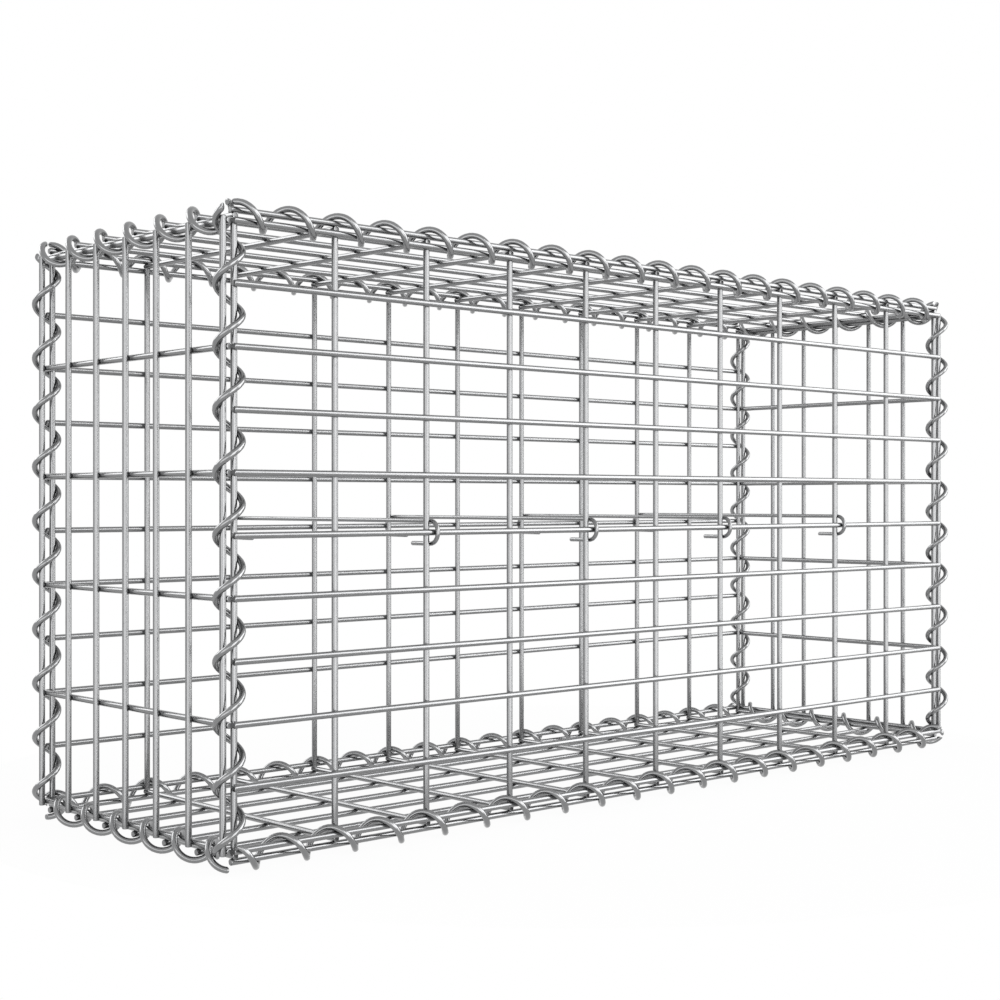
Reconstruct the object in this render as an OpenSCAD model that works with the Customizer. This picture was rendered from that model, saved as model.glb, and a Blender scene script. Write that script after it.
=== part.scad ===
// Welded mesh gabion basket: six panels laced along every edge, with spacer rods from front to back.
// Sizes are in millimetres. X runs along the length, the front faces -Y and Z is up.

/* [Basket] */
// Wide mesh cells along the length
cells_l = 10; // [5:1:20]
// Fine mesh cells from front to back
cells_w = 6; // [4:1:12]
// Wide mesh cells up the height
cells_h = 5; // [3:1:10]

/* [Mesh] */
// Spacing of the outer wires, half the spacing of the inner ones
cell_fine = 50; // [45:1:75]
// Diameter of the mesh wire
wire_d = 5.5; // [4:0.1:6]
// How far crossing wires sink into each other at a weld
weld_set = 0.8; // [0.4:0.1:1]
// Flat sides of a mesh wire
wire_sides = 8; // [8:4:12]
// Stub of an outer wire past the axis of the edge wire it is welded to
end_stub = 3.5; // [2.8:0.1:6]

/* [Spirals] */
// Diameter of the spiral wire
coil_d = 5.4; // [4:0.1:6]
// Play between a spiral and the two edge wires it binds
coil_gap = 0.25; // [0.2:0.05:1]
// Straight steps in one turn of a spiral
coil_steps = 12; // [10:2:14]

/* [Spacers] */
// Diameter of a spacer rod
rod_d = 4; // [3:0.1:6]
// Radius of a hooked rod end, to the middle of the rod
hook_r = 10; // [8:0.5:14]
// Straight tail that turns back past the bend
rod_tail = 25; // [10:1:35]

/* [Hidden] */
fit = 0.15;

// whole cells only
n_l = round(cells_l);
n_w = round(cells_w);
n_h = round(cells_h);
cell_wide = 2 * cell_fine;
length = n_l * cell_wide;
width = n_w * cell_fine;
height = n_h * cell_wide;
// distance between the two wire layers of a panel
layer = wire_d - weld_set;
// outer wires of the end panels, beyond the edge wires of the front and back panels
side_out = layer + wire_d + fit;
// outer wires of the lid and the base, beyond the last level wires of the front and back panels
lid_out = layer + wire_d / 2 + wire_d * 0.28;
// cut ends of the inner wires, kept clear of the wires of the next panel
short_stub = lid_out - layer - wire_d / 2 - fit;
inner_stub = layer - wire_d / 2 - 3 * fit;
// a square section with the area of the round spiral wire
coil_half = coil_d * sqrt(PI) / 4;
coil_r = (side_out / 2 + wire_d / 2 + coil_gap + coil_half) / cos(180 / coil_steps);
// axes of the spirals, midway between the wires that they bind
bind_y = layer / 2;
bind_z = lid_out / 2;
bind_x = side_out / 2 - 2 * fit;
bind_drop = 2 * fit;
// the corner spirals sit a little outwards, clear of the cut ends of the level wires
corner_y = 0.18 * wire_d;
// the lowest turn of the base spirals stands on the ground
rise = bind_z + coil_r + coil_half;
mid_z = n_h * cell_fine;
// middle of a hook's bend, so that the bend bears on the outside of the level wire that it holds
hook_y = hook_r - layer - wire_d / 2 - rod_d / 2 - 2 * fit;

zinc = [0.77, 0.78, 0.79];
bright = [0.83, 0.84, 0.85];

module place() {
    translate([-length / 2, -width / 2, rise]) children();
}

// A straight wire with flats that face along the axes, from a point along X, Y or Z
module wire(from, along, long) {
    turn = along == "x" ? [0, 90, 0] : along == "y" ? [-90, 0, 0] : [0, 0, 0];
    translate(from) rotate(turn) rotate([0, 0, 180 / wire_sides])
        cylinder(h = long, r = wire_d / 2 / cos(180 / wire_sides), $fn = wire_sides);
}

// Front or back: level wires outside, upright wires inside, out is -1 or 1
module long_panel(y, out) {
    for (k = [0 : 2 * n_h])
        wire([-end_stub, y + out * layer, k * cell_fine], "x", length + 2 * end_stub);
    for (k = [0 : n_l])
        wire([k * cell_wide, y, -short_stub], "z", height + 2 * short_stub);
}

// Left or right end: upright wires outside, level wires inside
module end_panel(x, out) {
    for (k = [0 : n_w])
        wire([x, k * cell_fine, -end_stub], "z", height + 2 * end_stub);
    for (k = [0 : n_h])
        wire([x - out * layer, -inner_stub, k * cell_wide], "y", width + 2 * inner_stub);
}

// Lid or base: long wires outside, cross wires inside
module flat_panel(z, out) {
    for (k = [0 : n_w])
        wire([-end_stub, k * cell_fine, z], "x", length + 2 * end_stub);
    for (k = [0 : n_l])
        wire([k * cell_wide, -inner_stub, z - out * layer], "y", width + 2 * inner_stub);
}

// A wire swept through rings of points that all run the same way round
module sweep(rings) {
    n = len(rings);
    m = len(rings[0]);
    polyhedron(
        points = [for (ring = rings) each ring],
        faces = concat(
            [[for (j = [0 : m - 1]) j]],
            [[for (j = [m - 1 : -1 : 0]) (n - 1) * m + j]],
            [for (i = [0 : n - 2], j = [0 : m - 1]) let (q = (j + 1) % m, a = i * m)
                each [[a + j, a + m + j, a + m + q], [a + j, a + m + q, a + q]]]));
}

// Turns local Z to the X, Y or Z axis without changing the hand
function turned(p, along) = along == "x" ? [p[2], p[0], p[1]] : along == "y" ? [p[1], p[2], p[0]] : p;

function coil_ring(t, start, along, centre) =
    let (a = start + 360 * t / cell_fine, out = [cos(a), sin(a), 0],
        lead = cell_fine / (2 * PI), s = sqrt(coil_r * coil_r + lead * lead),
        on = [-coil_r * sin(a), coil_r * cos(a), lead] / s, side = cross(on, out),
        at = coil_r * out + [0, 0, t])
    [for (c = [[1, 1], [-1, 1], [-1, -1], [1, -1]])
        centre + turned(at + coil_half * (c[0] * out + c[1] * side), along)];

// A right-handed spiral from one place to another along an edge, start is its angle at the edge's zero
module spiral(along, centre, from, to, start) {
    steps = ceil((to - from) / cell_fine * coil_steps - 0.01);
    sweep([for (i = [0 : steps]) coil_ring(from + (to - from) * i / steps, start, along, centre)]);
}

// over is how far the top end rises above the top level wire, as a share of a turn
module corner_spiral(x, y, start, over) {
    spiral("z", [x, y, 0], -0.08 * cell_fine, height + over * cell_fine, start);
}

module long_spiral(y, z, start) {
    spiral("x", [0, y, z], 0, length, start);
}

module short_spiral(x, z, start) {
    spiral("y", [x, 0, z], 0, width, start);
}

// The path of a spacer: tail, hook round the front wire, rod, hook round the back wire, tail
function rod_path() = concat(
    [[hook_y + rod_tail, -hook_r]],
    [for (a = [-90 : -22.5 : -270]) [hook_y + hook_r * cos(a), hook_r * sin(a)]],
    [for (a = [90 : -22.5 : -90]) [width - hook_y + hook_r * cos(a), hook_r * sin(a)]],
    [[width - hook_y - rod_tail, -hook_r]]);

function rod_ring(path, i) =
    let (n = len(path), d = path[min(i + 1, n - 1)] - path[max(i - 1, 0)], t = d / norm(d), r = rod_d / 2)
    [for (a = [30 : 60 : 330]) [r * cos(a), path[i][0] - r * sin(a) * -t[1], path[i][1] + r * sin(a) * -t[0]]];

module spacer(i) {
    x = round(i * n_l / 5) * cell_wide + wire_d / 2 + rod_d / 2 + 2 * fit;
    path = rod_path();
    color(bright) place() translate([x, 0, mid_z])
        sweep([for (k = [0 : len(path) - 1]) rod_ring(path, k)]);
}

module front_panel() color(zinc) place() long_panel(0, -1);
module back_panel() color(zinc) place() long_panel(width, 1);
module left_panel() color(zinc) place() end_panel(-side_out, -1);
module right_panel() color(zinc) place() end_panel(length + side_out, 1);
module lid_panel() color(zinc) place() flat_panel(height + lid_out, 1);
module base_panel() color(zinc) place() flat_panel(-lid_out, -1);

module front_left_spiral() color(bright) place() corner_spiral(-side_out / 2, -corner_y, 147, 0.18);
module front_right_spiral() color(bright) place() corner_spiral(length + side_out / 2, -corner_y, 20, 0);
module back_left_spiral() color(bright) place() corner_spiral(-side_out / 2, width + corner_y, 88, 0.08);
module back_right_spiral() color(bright) place() corner_spiral(length + side_out / 2, width + corner_y, 28, 0.08);

module lid_front_spiral() color(bright) place() long_spiral(-bind_y, height + bind_z, 84);
module lid_back_spiral() color(bright) place() long_spiral(width + bind_y, height + bind_z, 90);
module lid_left_spiral() color(bright) place() short_spiral(-bind_x, height + bind_z - bind_drop, 352);
module lid_right_spiral() color(bright) place() short_spiral(length + bind_x, height + bind_z - bind_drop, 8);

module base_front_spiral() color(bright) place() long_spiral(-bind_y, -bind_z, 128);
module base_back_spiral() color(bright) place() long_spiral(width + bind_y, -bind_z, 52);
module base_left_spiral() color(bright) place() short_spiral(-bind_x, bind_drop - bind_z, 187);
module base_right_spiral() color(bright) place() short_spiral(length + bind_x, bind_drop - bind_z, 118);

module spacer_1() spacer(1);
module spacer_2() spacer(2);
module spacer_3() spacer(3);
module spacer_4() spacer(4);

front_panel();
back_panel();
left_panel();
right_panel();
lid_panel();
base_panel();
front_left_spiral();
front_right_spiral();
back_left_spiral();
back_right_spiral();
lid_front_spiral();
lid_back_spiral();
lid_left_spiral();
lid_right_spiral();
base_front_spiral();
base_back_spiral();
base_left_spiral();
base_right_spiral();
spacer_1();
spacer_2();
spacer_3();
spacer_4();
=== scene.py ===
import math

import bmesh
import bpy
from mathutils import Matrix, Vector


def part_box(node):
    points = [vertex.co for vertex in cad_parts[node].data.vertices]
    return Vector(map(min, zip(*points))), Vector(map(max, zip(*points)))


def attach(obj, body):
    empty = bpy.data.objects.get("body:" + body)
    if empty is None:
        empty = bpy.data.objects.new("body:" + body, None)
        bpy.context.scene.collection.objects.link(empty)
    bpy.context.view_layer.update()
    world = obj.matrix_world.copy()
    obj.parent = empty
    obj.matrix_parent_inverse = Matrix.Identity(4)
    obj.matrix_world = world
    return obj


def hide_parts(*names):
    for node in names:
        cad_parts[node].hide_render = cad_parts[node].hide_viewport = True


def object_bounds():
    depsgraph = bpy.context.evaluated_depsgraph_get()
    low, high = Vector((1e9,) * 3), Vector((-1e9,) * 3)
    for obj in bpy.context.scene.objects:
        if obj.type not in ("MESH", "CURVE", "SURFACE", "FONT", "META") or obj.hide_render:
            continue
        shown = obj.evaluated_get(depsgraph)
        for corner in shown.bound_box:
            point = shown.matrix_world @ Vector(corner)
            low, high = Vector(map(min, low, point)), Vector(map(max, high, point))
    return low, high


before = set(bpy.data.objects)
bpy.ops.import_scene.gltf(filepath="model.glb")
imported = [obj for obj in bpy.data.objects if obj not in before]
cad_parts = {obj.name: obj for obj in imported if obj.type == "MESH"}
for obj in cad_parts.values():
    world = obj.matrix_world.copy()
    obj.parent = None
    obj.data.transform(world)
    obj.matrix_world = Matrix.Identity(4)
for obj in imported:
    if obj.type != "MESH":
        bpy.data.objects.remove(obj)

bl_info = {
    "name": "Welded mesh gabion basket",
    "version": (1, 0, 0),
    "blender": (4, 5, 0),
    "location": "View3D > Sidebar > Gabion",
    "description": "Dresses the packed basket in round zinc-coated wire, with welds, spirals and spacers",
    "category": "Object",
}

CAD_BOX = [list(corner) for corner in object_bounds()]
BODY = "root"

PANELS = ("front_panel", "back_panel", "left_panel", "right_panel", "lid_panel", "base_panel")
SPIRALS = (
    "front_left_spiral", "front_right_spiral", "back_left_spiral", "back_right_spiral",
    "lid_front_spiral", "lid_back_spiral", "lid_left_spiral", "lid_right_spiral",
    "base_front_spiral", "base_back_spiral", "base_left_spiral", "base_right_spiral")
SPACERS = ("spacer_1", "spacer_2", "spacer_3", "spacer_4")

AXES = "xyz"
AXIS = {"x": Vector((1, 0, 0)), "y": Vector((0, 1, 0)), "z": Vector((0, 0, 1))}
# turns that take local Z to the named axis and keep the hand of a spiral
TURN = {
    "x": Matrix(((0, 0, 1), (1, 0, 0), (0, 1, 0))).to_4x4(),
    "y": Matrix(((0, 1, 0), (0, 0, 1), (1, 0, 0))).to_4x4(),
    "z": Matrix.Identity(4),
}
# the axis across each panel, and whether its outer wires lie on the high side
SIDES = {
    "front": ("y", False), "back": ("y", True),
    "left": ("x", False), "right": ("x", True),
    "base": ("z", False), "lid": ("z", True)}
# for the axis across a panel, the axes along its outer and its inner wires
WIRE_RUNS = {"x": ("z", "y"), "y": ("x", "z"), "z": ("x", "y")}

# facets of the round shapes
WIRE_SIDES = 20
BEAD_SIDES = 10
BEAD_RINGS = 6
COIL_SIDES = 14
COIL_STEPS = 28
HOOK_STEPS = 16
CROP_STEPS = 2
FLOOR_SIDES = 96
# edges that turn by less than this many degrees are shaded smooth
# on a straight wire the cropped ends stay out of it, or they would tilt the shading of the whole wire
WIRE_SMOOTH = 20
BEAD_SMOOTH = 70
COIL_SMOOTH = 40
# a face at a wire's end looks along the wire by at least this cosine
END_FACING = 0.9
# the part of a turn in which a CAD spiral's first ring lies
END_SHARE = 0.08
# points closer than this are one, in metres
MERGE = 1e-6

# the coating's patterns: how fine they are per metre, and how much detail they hold
CLOUD_SCALE = 90.0
CLOUD_DETAIL = 3.0
GRAIN_SCALE = 1400.0
GRAIN_DETAIL = 2.0
SPOT_SCALE = 260.0
SPOT_DETAIL = 4.0
PATTERN_ROUGHNESS = 0.55
# the noise at which a dull spot starts, and at which it is full
SPOT_START = 0.58
SPOT_FULL = 0.74
# colour of the patterns as shares of the zinc's own colour, and how far the spots cover it
CLOUD_DARK = 0.92
CLOUD_LIGHT = 1.08
SPOT_DARK = 0.85
SPOT_COVER = 0.4
CLOUD_TINT = 0.8
GRAIN_TINT = 0.2
# roughness that the patterns add
CLOUD_ROUGH = 0.08
GRAIN_ROUGH = 0.04
SPOT_ROUGH = 0.06
# relief of the coating
RELIEF_STRENGTH = 0.03
RELIEF_DEPTH = 0.0001
CLOUD_RELIEF = 0.4
GRAIN_RELIEF = 0.6

WHITE = (1, 1, 1, 1)
# how white the floor looks to the camera and in the wire, which leaves the rest to its shadow
FLOOR_WHITE = 0.95
# room between the floor and the lowest turns of the base spirals
FLOOR_GAP = 0.0002
# the soft lights stand this far from the middle of the basket, and face it
LIGHT_AIM = Vector((0, 0, 0.27))
LIGHT_DISTANCE = 8.0
# the camera, solved from the mesh crossings in the photograph
CAMERA_PLACE = (-1.235674, -1.256178, 0.296616)
CAMERA_TILT = math.radians(89.9802)
CAMERA_TURN = math.radians(-42.78134)
SENSOR_WIDTH = 36


class BasketSizes(bpy.types.PropertyGroup):
    """Sizes of the wire and the mesh"""

    fine: bpy.props.FloatProperty(
        name="Fine spacing", description="Spacing of the outer wires of a panel, and pitch of the spirals",
        default=0.05, min=0.02, unit="LENGTH", precision=4)
    wide: bpy.props.FloatProperty(
        name="Wide spacing", description="Spacing of the inner wires of a panel",
        default=0.1, min=0.02, unit="LENGTH", precision=4)
    wire: bpy.props.FloatProperty(
        name="Mesh wire", description="Diameter of the mesh wire",
        default=0.0055, min=0.002, unit="LENGTH", precision=4)
    crop: bpy.props.FloatProperty(
        name="Cropped edge", description="Rounding at the cropped end of a wire",
        default=0.0006, min=0.0, unit="LENGTH", precision=5)
    weld: bpy.props.FloatProperty(
        name="Weld", description="Radius of the metal squeezed out at a weld",
        default=0.0019, min=0.0005, unit="LENGTH", precision=4)
    weld_thick: bpy.props.FloatProperty(
        name="Weld thickness", description="Half thickness of the metal squeezed out at a weld",
        default=0.0009, min=0.0002, unit="LENGTH", precision=4)
    spiral_wire: bpy.props.FloatProperty(
        name="Spiral wire", description="Diameter of the spiral wire",
        default=0.0054, min=0.001, unit="LENGTH", precision=4)
    spiral_radius: bpy.props.FloatProperty(
        name="Spiral radius", description="Radius of a spiral, to the middle of its wire",
        default=0.0106, min=0.004, unit="LENGTH", precision=4)
    rod: bpy.props.FloatProperty(
        name="Spacer rod", description="Diameter of a spacer rod",
        default=0.004, min=0.001, unit="LENGTH", precision=4)
    tail: bpy.props.FloatProperty(
        name="Spacer tail", description="Straight tail past the bend of a spacer's hook",
        default=0.025, min=0.0, unit="LENGTH", precision=4)


class BasketFinish(bpy.types.PropertyGroup):
    """Colours and gloss of the zinc coating"""

    mesh_zinc: bpy.props.FloatVectorProperty(
        name="Mesh zinc", description="Colour of the zinc on the mesh wire",
        default=(0.225, 0.227, 0.23), min=0, max=1, subtype="COLOR")
    spiral_zinc: bpy.props.FloatVectorProperty(
        name="Spiral zinc", description="Colour of the zinc on the spirals",
        default=(0.235, 0.237, 0.24), min=0, max=1, subtype="COLOR")
    spacer_zinc: bpy.props.FloatVectorProperty(
        name="Spacer zinc", description="Colour of the zinc on the spacer rods",
        default=(0.225, 0.227, 0.23), min=0, max=1, subtype="COLOR")
    gloss: bpy.props.FloatProperty(
        name="Roughness", description="Middle roughness of the zinc",
        default=0.2, min=0, max=1, subtype="FACTOR")


class BasketStage(bpy.types.PropertyGroup):
    """Floor, light and camera"""

    floor: bpy.props.FloatVectorProperty(
        name="Floor", description="Colour of the plain floor",
        default=(0.95, 0.95, 0.95), min=0, max=1, subtype="COLOR")
    floor_radius: bpy.props.FloatProperty(
        name="Floor radius", description="Radius of the round floor",
        default=0.62, min=0.6, unit="LENGTH")
    side_light: bpy.props.FloatProperty(
        name="Side light", description="Power of the small low soft light on the right",
        default=130.0, min=0, unit="POWER")
    high_light: bpy.props.FloatProperty(
        name="High light", description="Power of the wide raised soft light on the right",
        default=460.0, min=0, unit="POWER")
    front_light: bpy.props.FloatProperty(
        name="Front light", description="Power of the soft light to the right of the camera",
        default=350.0, min=0, unit="POWER")
    fill_light: bpy.props.FloatProperty(
        name="Fill light", description="Power of the wide soft light behind the camera",
        default=185.0, min=0, unit="POWER")
    back_light: bpy.props.FloatProperty(
        name="Back light", description="Power of the soft light high behind on the left",
        default=290.0, min=0, unit="POWER")
    ambient: bpy.props.FloatProperty(
        name="Ambient", description="Strength of the light from all round",
        default=0.5, min=0)
    lens: bpy.props.FloatProperty(
        name="Lens", description="Focal length on a 36 mm wide sensor, in millimetres",
        default=59.4618, min=1, unit="CAMERA")


def deselect():
    """Leaves object mode with nothing selected."""
    if bpy.context.object and bpy.context.object.mode != "OBJECT":
        bpy.ops.object.mode_set(mode="OBJECT")
    bpy.ops.object.select_all(action="DESELECT")


def only(piece):
    """Selects one piece and nothing else."""
    deselect()
    piece.select_set(True)
    bpy.context.view_layer.objects.active = piece


def apply_place():
    """Puts the place of the selected piece into its mesh."""
    bpy.ops.object.transform_apply(location=True, rotation=True, scale=True)


def applied(piece, kind, **settings):
    """Adds a modifier with these settings and applies it."""
    only(piece)
    modifier = piece.modifiers.new(kind.title(), kind)
    for name, value in settings.items():
        setattr(modifier, name, value)
    bpy.ops.object.modifier_apply(modifier=modifier.name)


def repeated(piece, step, count):
    """Repeats a piece in a row."""
    applied(
        piece, "ARRAY", use_relative_offset=False, use_constant_offset=True,
        constant_offset_displace=step, count=count)


def named(piece, name):
    """Names a piece and its mesh."""
    piece.name = name
    piece.data.name = name
    return piece


def joined(pieces):
    """Makes one piece of several."""
    deselect()
    for piece in pieces:
        piece.select_set(True)
    bpy.context.view_layer.objects.active = pieces[0]
    bpy.ops.object.join()
    return pieces[0]


def pick_faces(piece, test):
    """Selects the faces that a test holds for, in edit mode."""
    bpy.ops.mesh.select_all(action="DESELECT")
    shape = bmesh.from_edit_mesh(piece.data)
    shape.normal_update()
    bpy.ops.mesh.select_mode(type="FACE")
    for face in shape.faces:
        face.select_set(bool(test(face)))
    shape.select_flush_mode()
    bmesh.update_edit_mesh(piece.data)


def crop_faces(piece, test, crop):
    """Rounds the edges of a wire's cut ends, and leaves edit mode."""
    pick_faces(piece, test)
    bpy.ops.mesh.bevel(offset=crop, segments=CROP_STEPS, affect="EDGES")
    bpy.ops.object.mode_set(mode="OBJECT")


def smooth(piece, degrees):
    """Shades a piece smooth across its flatter edges."""
    only(piece)
    bpy.ops.object.shade_smooth_by_angle(angle=math.radians(degrees))


def finish_piece(piece, node, finish):
    """Gives a piece its finish and lets it stand for its CAD node."""
    piece.data.materials.clear()
    piece.data.materials.append(finish)
    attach(piece, BODY)
    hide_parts(node)


class Value:
    """A socket in a material, so that shader maths reads as Python."""

    def __init__(self, tree, socket):
        self.tree = tree
        self.socket = socket

    @classmethod
    def node(cls, tree, kind, settings=(), output=0, **inputs):
        """Any node, with its settings and the values or links of its sockets."""
        made = tree.nodes.new(kind)
        for name, value in dict(settings).items():
            setattr(made, name, value)
        for name, value in inputs.items():
            # a socket goes by its name, or by its number after an underscore
            key = int(name[1:]) if name[0] == "_" else name.replace("_", " ")
            if isinstance(value, Value):
                tree.links.new(value.socket, made.inputs[key])
            else:
                made.inputs[key].default_value = value
        return cls(tree, made.outputs[output])

    def maths(self, operation, a, b):
        return Value.node(self.tree, "ShaderNodeMath", {"operation": operation}, _0=a, _1=b)

    def __add__(self, other):
        return self.maths("ADD", self, other)

    def __radd__(self, other):
        return self.maths("ADD", other, self)

    def __sub__(self, other):
        return self.maths("SUBTRACT", self, other)

    def __rsub__(self, other):
        return self.maths("SUBTRACT", other, self)

    def __mul__(self, other):
        return self.maths("MULTIPLY", self, other)

    def __rmul__(self, other):
        return self.maths("MULTIPLY", other, self)

    def blend(self, low, high):
        """A colour between two, by this value."""
        return Value.node(
            self.tree, "ShaderNodeMix", {"data_type": "RGBA"}, output=2, _0=self, _6=low, _7=high)


def shaded(colour, share):
    """A colour made darker or lighter, with full alpha."""
    return [min(1.0, channel * share) for channel in colour] + [1.0]


def zinc(name, colour, gloss):
    """Zinc-coated drawn wire: a cloudy grey coating with a fine grain and a few dull spots."""
    material = bpy.data.materials.new(name)
    material.use_nodes = True
    tree = material.node_tree
    shader = tree.nodes["Principled BSDF"]
    place = Value.node(tree, "ShaderNodeTexCoord", output=3)

    def noise(scale, detail):
        return Value.node(
            tree, "ShaderNodeTexNoise", Vector=place, Scale=scale, Detail=detail,
            Roughness=PATTERN_ROUGHNESS)

    cloud = noise(CLOUD_SCALE, CLOUD_DETAIL)
    grain = noise(GRAIN_SCALE, GRAIN_DETAIL)
    spots = Value.node(
        tree, "ShaderNodeMapRange", {"interpolation_type": "SMOOTHSTEP"},
        Value=noise(SPOT_SCALE, SPOT_DETAIL), From_Min=SPOT_START, From_Max=SPOT_FULL,
        To_Min=0.0, To_Max=1.0)
    coating = (cloud * CLOUD_TINT + grain * GRAIN_TINT).blend(
        shaded(colour, CLOUD_DARK), shaded(colour, CLOUD_LIGHT))
    spotted = (spots * SPOT_COVER).blend(coating, shaded(colour, SPOT_DARK))
    tree.links.new(spotted.socket, shader.inputs["Base Color"])
    rough = (cloud - 0.5) * CLOUD_ROUGH + (grain - 0.5) * GRAIN_ROUGH + spots * SPOT_ROUGH + gloss
    tree.links.new(rough.socket, shader.inputs["Roughness"])
    relief = Value.node(
        tree, "ShaderNodeBump", Strength=RELIEF_STRENGTH, Distance=RELIEF_DEPTH,
        Height=grain * GRAIN_RELIEF + cloud * CLOUD_RELIEF)
    tree.links.new(relief.socket, shader.inputs["Normal"])
    shader.inputs["Metallic"].default_value = 1.0
    return material


def straight_wire(start, along, length, sizes):
    """A drawn wire with cropped ends, from a point along an axis."""
    deselect()
    axis = AXIS[along]
    bpy.ops.mesh.primitive_cylinder_add(
        vertices=WIRE_SIDES, radius=sizes.wire / 2, depth=length, end_fill_type="NGON",
        location=start + axis * length / 2,
        rotation=AXIS["z"].rotation_difference(axis).to_euler())
    wire = bpy.context.object
    apply_place()
    bpy.ops.object.mode_set(mode="EDIT")
    crop_faces(wire, lambda face: abs(face.normal.dot(axis)) > END_FACING, sizes.crop)
    smooth(wire, WIRE_SMOOTH)
    return wire


def weld_bead(at, across, sizes):
    """The lens of metal squeezed out between two wires, flat across an axis."""
    deselect()
    bpy.ops.mesh.primitive_uv_sphere_add(
        segments=BEAD_SIDES, ring_count=BEAD_RINGS, radius=sizes.weld, location=at)
    bead = bpy.context.object
    apply_place()
    bpy.ops.object.mode_set(mode="EDIT")
    bpy.ops.mesh.select_all(action="SELECT")
    flat = Vector((1, 1, 1)) - AXIS[across] * (1 - sizes.weld_thick / sizes.weld)
    bpy.ops.transform.resize(value=flat, center_override=at)
    bpy.ops.object.mode_set(mode="OBJECT")
    smooth(bead, BEAD_SMOOTH)
    return bead


def welded_panel(name, node, sizes):
    """A panel of two layers of wire, welded where they cross, in the place of its CAD node."""
    low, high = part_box(node)
    across, outer_is_high = SIDES[node.split("_")[0]]
    run, rise = WIRE_RUNS[across]
    # n counts across the panel, u along its outer wires and v along its inner wires
    n, u, v = (AXES.index(axis) for axis in (across, run, rise))
    outer = low[n] + sizes.wire / 2
    inner = high[n] - sizes.wire / 2
    if outer_is_high:
        outer, inner = inner, outer
    # the outer wires stand at the fine spacing and the inner ones at the wide spacing
    u_cells = round((high[u] - low[u]) / sizes.wide)
    v_cells = round((high[v] - low[v]) / sizes.fine)
    u_first = (low[u] + high[u]) / 2 - u_cells * sizes.wide / 2
    v_first = (low[v] + high[v]) / 2 - v_cells * sizes.fine / 2
    next_outer = AXIS[rise] * sizes.fine
    next_inner = AXIS[run] * sizes.wide

    def point(depth, u_place, v_place):
        place = Vector()
        place[n] = depth
        place[u] = u_place
        place[v] = v_place
        return place

    outers = straight_wire(point(outer, low[u], v_first), run, high[u] - low[u], sizes)
    repeated(outers, next_outer, v_cells + 1)
    inners = straight_wire(point(inner, u_first, low[v]), rise, high[v] - low[v], sizes)
    repeated(inners, next_inner, u_cells + 1)
    welds = weld_bead(point((outer + inner) / 2, u_first, v_first), across, sizes)
    repeated(welds, next_outer, v_cells + 1)
    repeated(welds, next_inner, u_cells + 1)
    return named(joined([outers, inners, welds]), name)


def wire_ring(radius, at):
    """An open ring with the section of a wire that runs along Y, all of it selected in edit mode."""
    deselect()
    bpy.ops.mesh.primitive_circle_add(
        vertices=COIL_SIDES, radius=radius, fill_type="NOTHING", location=at,
        rotation=(math.pi / 2, 0, 0))
    ring = bpy.context.object
    apply_place()
    bpy.ops.object.mode_set(mode="EDIT")
    bpy.ops.mesh.select_mode(type="EDGE")
    bpy.ops.mesh.select_all(action="SELECT")
    return ring


def closed_ends(wire, crop):
    """Merges a swept wire, closes its two ends and crops them, from edit mode to object mode."""
    bpy.ops.mesh.select_all(action="SELECT")
    bpy.ops.mesh.remove_doubles(threshold=MERGE)
    bpy.ops.mesh.fill_holes(sides=0)
    bpy.ops.mesh.select_all(action="SELECT")
    bpy.ops.mesh.normals_make_consistent(inside=False)
    # a wire's sides have four corners, so only the ends have more
    crop_faces(wire, lambda face: len(face.verts) > 4, crop)


def spiral_path(node, pitch):
    """Axis, lower end, length and angle at that end of a spiral, read off its CAD node."""
    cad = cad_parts[node]
    points = {tuple(round(c, 6) for c in cad.matrix_world @ vertex.co) for vertex in cad.data.vertices}
    low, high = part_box(node)
    n = max(range(3), key=lambda i: high[i] - low[i])
    # the CAD spiral is a row of rings, and its lowest ring is the cut end
    ring = [point for point in points if point[n] < low[n] + END_SHARE * pitch]
    end = sum((Vector(point) for point in ring), Vector()) / len(ring)
    foot = (low + high) / 2
    foot[n] = end[n]
    arm = end - foot
    angle = math.atan2(arm[(n + 2) % 3], arm[(n + 1) % 3])
    return AXES[n], foot, low[n] + high[n] - 2 * end[n], angle


def lacing_spiral(name, node, sizes):
    """A right-handed spiral of round wire along an edge, turned as its CAD node is."""
    along, foot, length, angle = spiral_path(node, sizes.fine)
    radius = sizes.spiral_radius
    turns = length / sizes.fine
    steps = round(turns * COIL_STEPS)
    start = Vector((radius, 0, 0))
    spiral = wire_ring(sizes.spiral_wire / 2, start)
    # the wire climbs as it turns, so an upright cut through it is longer than the wire is thick
    lead = sizes.fine / (2 * math.pi)
    stretch = math.hypot(radius, lead) / radius
    bpy.ops.transform.resize(value=(1, 1, stretch), center_override=start)
    bpy.ops.object.mode_set(mode="OBJECT")
    applied(
        spiral, "SCREW", axis="Z", angle=turns * 2 * math.pi, screw_offset=length, iterations=1,
        steps=steps, render_steps=steps, use_smooth_shade=True)
    only(spiral)
    bpy.ops.object.mode_set(mode="EDIT")
    closed_ends(spiral, sizes.crop)
    spiral.matrix_world = Matrix.Translation(foot) @ TURN[along] @ Matrix.Rotation(angle, 4, "Z")
    apply_place()
    smooth(spiral, COIL_SMOOTH)
    return named(spiral, name)


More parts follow.
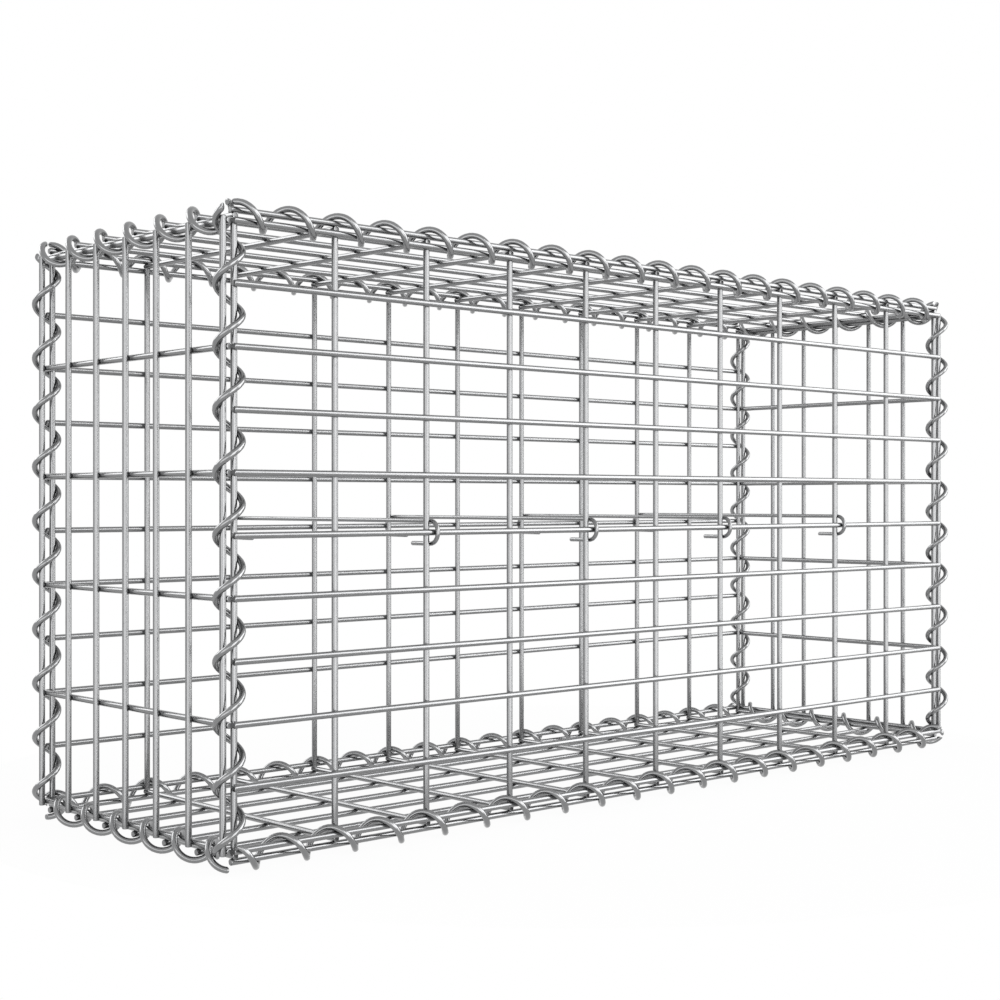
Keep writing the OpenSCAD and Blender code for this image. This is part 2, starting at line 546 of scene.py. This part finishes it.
def spacer_rod(name, node, sizes):
    """A rod with a hook at each end, bent round the level wires of the front and back panels."""
    low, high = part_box(node)
    radius = sizes.rod / 2
    x = (low.x + high.x) / 2
    middle = (low.z + high.z) / 2
    bend = (high.z - low.z) / 2 - radius
    front = low.y + radius + bend
    back = high.y - radius - bend

    def straight(length):
        bpy.ops.mesh.extrude_region_move(TRANSFORM_OT_translate={"value": (0, length, 0)})

    def hook(y):
        bpy.ops.mesh.spin(steps=HOOK_STEPS, angle=math.pi, center=(x, y, middle), axis=AXIS["x"])

    rod = wire_ring(radius, (x, front + sizes.tail, middle - bend))
    straight(-sizes.tail)
    hook(front)
    straight(back - front)
    hook(back)
    straight(-sizes.tail)
    closed_ends(rod, sizes.crop)
    smooth(rod, COIL_SMOOTH)
    return named(rod, name)


class GABION_OT_mesh_panels(bpy.types.Operator):
    """Builds the six welded mesh panels"""

    bl_idname = "gabion.mesh_panels"
    bl_label = "Mesh panels"

    def execute(self, context):
        scene = context.scene
        finish = zinc("mesh_zinc", scene.basket_finish.mesh_zinc, scene.basket_finish.gloss)
        for node in PANELS:
            panel = welded_panel(node + "_wires", node, scene.basket_sizes)
            finish_piece(panel, node, finish)
        return {"FINISHED"}


class GABION_OT_lacing_spirals(bpy.types.Operator):
    """Winds the twelve spirals that lace the panels along their edges"""

    bl_idname = "gabion.lacing_spirals"
    bl_label = "Lacing spirals"

    def execute(self, context):
        scene = context.scene
        finish = zinc("spiral_zinc", scene.basket_finish.spiral_zinc, scene.basket_finish.gloss)
        for node in SPIRALS:
            spiral = lacing_spiral(node + "_wire", node, scene.basket_sizes)
            finish_piece(spiral, node, finish)
        return {"FINISHED"}


class GABION_OT_spacer_rods(bpy.types.Operator):
    """Bends the four spacer rods that tie the front to the back"""

    bl_idname = "gabion.spacer_rods"
    bl_label = "Spacer rods"

    def execute(self, context):
        scene = context.scene
        finish = zinc("spacer_zinc", scene.basket_finish.spacer_zinc, scene.basket_finish.gloss)
        for node in SPACERS:
            rod = spacer_rod(node + "_rod", node, scene.basket_sizes)
            finish_piece(rod, node, finish)
        return {"FINISHED"}


def seen_directly(tree):
    """One where a camera, mirror or see-through ray arrives, so that the wire mirrors white too."""
    path = tree.nodes.new("ShaderNodeLightPath")
    camera, glossy, through = (
        Value(tree, path.outputs[n]) for n in ("Is Camera Ray", "Is Glossy Ray", "Is Transmission Ray"))
    return camera + glossy + through


def floor_paint(colour):
    """Plain pale paint that looks almost white and keeps a faint shadow."""
    paint = bpy.data.materials.new("floor_paint")
    paint.use_nodes = True
    tree = paint.node_tree
    shader = tree.nodes["Principled BSDF"]
    shader.inputs["Base Color"].default_value = (*colour, 1)
    shader.inputs["Roughness"].default_value = 1.0
    shader.inputs["Specular IOR Level"].default_value = 0.0
    white = Value.node(tree, "ShaderNodeEmission", Color=WHITE, Strength=1.0)
    mixed = Value.node(
        tree, "ShaderNodeMixShader", _0=seen_directly(tree) * FLOOR_WHITE,
        _1=Value(tree, shader.outputs[0]), _2=white)
    tree.links.new(mixed.socket, tree.nodes["Material Output"].inputs["Surface"])
    return paint


def round_floor(look):
    """A round floor just under the basket."""
    deselect()
    bpy.ops.mesh.primitive_circle_add(
        vertices=FLOOR_SIDES, radius=look.floor_radius, fill_type="NGON",
        location=(0, 0, CAD_BOX[0][2] - FLOOR_GAP))
    floor = bpy.context.object
    floor.name = "floor"
    floor.data.materials.append(floor_paint(look.floor))


def white_surround(scene, ambient):
    """White all round where it is seen, and a weaker light from all round."""
    world = bpy.data.worlds.new("studio")
    scene.world = world
    world.use_nodes = True
    tree = world.node_tree
    background = tree.nodes["Background"]
    background.inputs["Color"].default_value = WHITE
    strength = seen_directly(tree) * (1 - ambient) + ambient
    tree.links.new(strength.socket, background.inputs["Strength"])


def soft_light(name, power, degrees, height, size):
    """A soft light, turned by degrees to the right from the camera's side, and raised above its aim."""
    facing = Matrix.Rotation(CAMERA_TURN + math.radians(degrees), 3, "Z")
    at = LIGHT_AIM + facing @ Vector((0, -LIGHT_DISTANCE, height))
    deselect()
    bpy.ops.object.light_add(type="AREA", location=at)
    lamp = bpy.context.object
    lamp.name = name
    lamp.data.name = name
    lamp.rotation_euler = (LIGHT_AIM - at).to_track_quat("-Z", "Y").to_euler()
    lamp.data.shape = "RECTANGLE"
    lamp.data.size, lamp.data.size_y = size
    lamp.data.energy = power
    lamp.visible_camera = False


def photo_camera(scene, lens):
    """The camera at the photograph's viewing angle."""
    deselect()
    bpy.ops.object.camera_add(location=CAMERA_PLACE, rotation=(CAMERA_TILT, 0, CAMERA_TURN))
    camera = bpy.context.object
    camera.name = "camera"
    camera.data.sensor_width = SENSOR_WIDTH
    camera.data.lens = lens
    scene.camera = camera


class GABION_OT_stage(bpy.types.Operator):
    """Lays the floor, sets the lights and places the camera"""

    bl_idname = "gabion.stage"
    bl_label = "Stage"

    def execute(self, context):
        scene = context.scene
        look = scene.basket_stage
        scene.view_settings.view_transform = "Standard"
        round_floor(look)
        white_surround(scene, look.ambient)
        soft_light("side_softbox", look.side_light, degrees=91, height=0.3, size=(3.1, 3.2))
        soft_light("high_softbox", look.high_light, degrees=92, height=3.9, size=(9.8, 4.1))
        soft_light("front_softbox", look.front_light, degrees=38, height=1.1, size=(5.9, 6.5))
        soft_light("fill_softbox", look.fill_light, degrees=-20, height=0.0, size=(8.6, 4.0))
        soft_light("back_softbox", look.back_light, degrees=-112, height=4.1, size=(7.0, 4.5))
        photo_camera(scene, look.lens)
        return {"FINISHED"}


class GABION_PT_basket(bpy.types.Panel):
    """Lists the steps and their settings"""

    bl_label = "Gabion basket"
    bl_idname = "GABION_PT_basket"
    bl_space_type = "VIEW_3D"
    bl_region_type = "UI"
    bl_category = "Gabion"

    def draw(self, context):
        for step in STEPS:
            self.layout.operator(step.bl_idname)
        for name in GROUPS:
            group = getattr(context.scene, name)
            box = self.layout.box()
            for setting in group.__annotations__:
                box.prop(group, setting)


STEPS = (GABION_OT_mesh_panels, GABION_OT_lacing_spirals, GABION_OT_spacer_rods, GABION_OT_stage)
GROUPS = {"basket_sizes": BasketSizes, "basket_finish": BasketFinish, "basket_stage": BasketStage}


def register():
    for group in GROUPS.values():
        bpy.utils.register_class(group)
    for name, group in GROUPS.items():
        setattr(bpy.types.Scene, name, bpy.props.PointerProperty(type=group))
    for step in (*STEPS, GABION_PT_basket):
        bpy.utils.register_class(step)


def unregister():
    for step in reversed((*STEPS, GABION_PT_basket)):
        bpy.utils.unregister_class(step)
    for name in GROUPS:
        delattr(bpy.types.Scene, name)
    for group in reversed(GROUPS.values()):
        bpy.utils.unregister_class(group)


def main():
    register()
    bpy.ops.gabion.mesh_panels()
    bpy.ops.gabion.lacing_spirals()
    bpy.ops.gabion.spacer_rods()
    bpy.ops.gabion.stage()
    bpy.context.view_layer.update()


if __name__ == "__main__":
    main()
